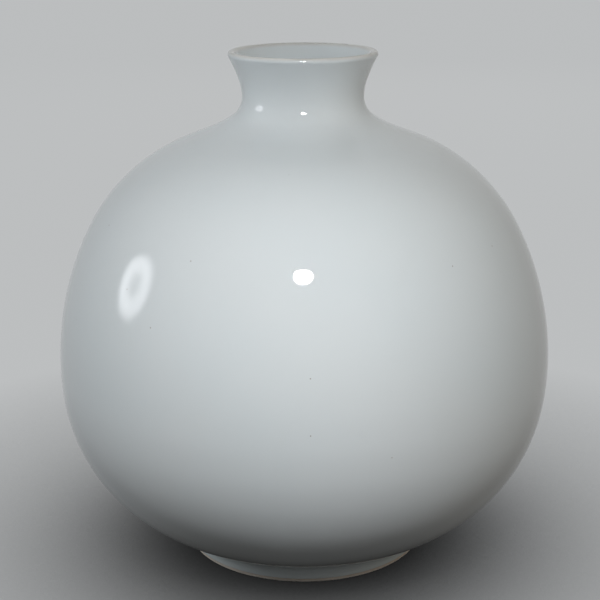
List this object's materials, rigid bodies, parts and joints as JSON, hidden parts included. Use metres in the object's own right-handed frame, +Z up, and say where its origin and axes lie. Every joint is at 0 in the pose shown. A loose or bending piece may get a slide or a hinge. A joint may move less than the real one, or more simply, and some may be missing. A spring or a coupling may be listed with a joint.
{
  "type": "moon jar",
  "caption": "Round white porcelain moon jar: bowls luted rim to rim at the waist, a short waisted neck with a flared lip, and a low foot ring, all glazed. Holds flowers or stands alone.",
  "frame": {"origin": "on the table under the middle of the foot ring", "axes": "+Z up along the axis the jar was thrown about; -Y faces the viewer"},
  "size_m": [0.3, 0.3, 0.3069],
  "materials": {
    "porcelain_body": "fired porcelain, matt where bare",
    "joining_slip": "fired slip, matt",
    "clear_glaze": "gloss, faintly blue white"
  },
  "bodies": {
    "root": {"foot_ring": "porcelain_body", "foot_slip": "joining_slip", "lower_bowl": "porcelain_body", "waist_slip": "joining_slip", "upper_bowl": "porcelain_body", "neck_slip": "joining_slip", "neck_collar": "porcelain_body", "outer_glaze": "clear_glaze", "inner_glaze": "clear_glaze", "well_glaze": "clear_glaze"}
  },
  "joints": []
}
